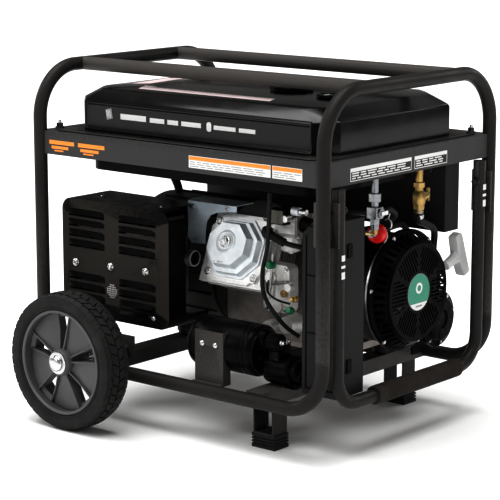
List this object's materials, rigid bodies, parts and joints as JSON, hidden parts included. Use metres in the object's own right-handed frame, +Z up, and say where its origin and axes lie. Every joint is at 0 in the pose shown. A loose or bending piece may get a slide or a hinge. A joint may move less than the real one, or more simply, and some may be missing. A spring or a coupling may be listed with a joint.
{
  "type": "portable generator",
  "caption": "Open-frame portable generator with tube cradle, steel fuel tank, recoil and electric start engine, alternator, two wheels, two rubber feet and a fold-out handle.",
  "frame": {"origin": "on the ground under the middle of the object's bounding box", "axes": "+X along the frame towards the recoil starter and fold-out handle, +Y away from the muffler-guard side, towards the control panel, +Z up"},
  "size_m": [0.752, 0.809, 0.7035],
  "materials": {
    "frame_paint": "satin charcoal powder coat",
    "black_paint": "satin black paint",
    "tank_gloss": "gloss black enamel",
    "zinc": "bright zinc plate",
    "steel": "machined steel",
    "bolt_steel": "zinc-plated fasteners",
    "cast_aluminium": "die-cast",
    "laminations": "varnished steel laminations with copper winding",
    "brass": "machined brass",
    "rubber": "black rubber",
    "tyre": "block tread rubber",
    "foam": "foam grip",
    "black_plastic": "moulded black plastic",
    "hub_plastic": "moulded charcoal plastic",
    "grey_plastic": "moulded light grey plastic",
    "reel_plastic": "natural nylon",
    "rope": "braided cord",
    "red_plastic": "red plastic",
    "filter_paper": "pleated paper"
  },
  "bodies": {
    "frame": {"hoop_engine_end": "frame_paint", "hoop_wheel_end": "frame_paint", "bottom_rails": "frame_paint", "top_rails": "frame_paint", "crossmembers": "frame_paint", "belt_sides": "frame_paint", "belt_ends": "frame_paint", "stub_axles": "steel", "axle_nuts": "bolt_steel", "foot_brackets": "black_paint", "rubber_feet": "rubber", "handle_brackets": "frame_paint", "handle_bolts": "bolt_steel", "tank_lower": "black_paint", "tank_upper": "tank_gloss", "tank_bolts": "bolt_steel", "fuel_gauge": "black_plastic", "fuel_valve": "zinc", "lpg_valve": "brass", "hoses": "rubber", "harness": "rubber", "muffler_guard": "black_paint", "muffler": "steel", "heat_shield": "zinc", "alternator_housing": "black_paint", "alternator_end_cover": "black_plastic", "stator": "laminations", "vibration_mounts": "rubber", "crankcase": "cast_aluminium", "cylinder_head": "cast_aluminium", "valve_cover": "zinc", "spark_plug": "rubber", "carburettor": "cast_aluminium", "air_cleaner_box": "black_plastic", "air_filter": "filter_paper", "fan_housing": "black_paint", "recoil_cover": "black_plastic", "lpg_regulator": "black_paint", "canister": "black_plastic", "canister_bracket": "frame_paint", "starter_motor": "black_paint", "battery": "black_plastic", "control_panel": "black_plastic", "outlets": "black_plastic"},
    "wheel_near": {"tyre_near": "tyre", "hub_near": "hub_plastic"},
    "wheel_far": {"tyre_far": "tyre", "hub_far": "hub_plastic"},
    "handle": {"handle_tube": "frame_paint", "handle_grip": "foam"},
    "crank_train": {"crankshaft": "steel", "flywheel": "cast_aluminium", "rotor": "laminations"},
    "reel": {"recoil_reel": "reel_plastic"},
    "pull_grip": {"recoil_grip": "grey_plastic", "starter_rope": "rope"},
    "fuel_cap": {"fuel_cap": "black_plastic"},
    "engine_switch": {"engine_switch": "black_plastic"},
    "start_button": {"start_button": "red_plastic"},
    "main_breaker": {"main_breaker": "black_plastic"}
  },
  "joints": [
    {"name": "wheel_near_spin", "type": "hinge", "parent": "frame", "child": "wheel_near", "pos_m": [-0.1975, -0.361, 0.136], "axis": [0, 1, 0], "continuous": true},
    {"name": "wheel_far_spin", "type": "hinge", "parent": "frame", "child": "wheel_far", "pos_m": [-0.1975, 0.361, 0.136], "axis": [0, 1, 0], "continuous": true},
    {"name": "handle_swing", "type": "hinge", "parent": "frame", "child": "handle", "pos_m": [0.3575, 0, 0.475], "axis": [0, -1, 0], "range_deg": [0, 90]},
    {"name": "engine_spin", "type": "hinge", "parent": "frame", "child": "crank_train", "pos_m": [-0.0045, 0.073, 0.272], "axis": [1, 0, 0], "continuous": true},
    {"name": "recoil_pull", "type": "slide", "parent": "frame", "child": "pull_grip", "axis": [0, 0.9367, 0.3502], "range_m": [0, 0.18], "stiffness_N_per_m": 60, "springref_m": -0.1},
    {"name": "reel_turn", "type": "hinge", "parent": "frame", "child": "reel", "pos_m": [0.3255, 0.073, 0.272], "axis": [1, 0, 0], "range_deg": [0, 206.3]},
    {"name": "fuel_cap_turn", "type": "hinge", "parent": "frame", "child": "fuel_cap", "pos_m": [0.0955, -0.035, 0.656], "axis": [0, 0, 1], "range_deg": [0, 90]},
    {"name": "engine_switch_turn", "type": "hinge", "parent": "frame", "child": "engine_switch", "pos_m": [0.2255, 0.262, 0.44], "axis": [0, 1, 0], "range_deg": [-60, 60]},
    {"name": "start_button_press", "type": "slide", "parent": "frame", "child": "start_button", "axis": [0, -1, 0], "range_m": [0, 0.003], "stiffness_N_per_m": 300, "springref_m": -0.002},
    {"name": "main_breaker_rock", "type": "hinge", "parent": "frame", "child": "main_breaker", "pos_m": [0.0805, 0.258, 0.44], "axis": [1, 0, 0], "range_deg": [-14, 0]}
  ],
  "couplings": [
    {"joint": "reel_turn", "follows": "recoil_pull", "rad_per_m": 20}
  ]
}
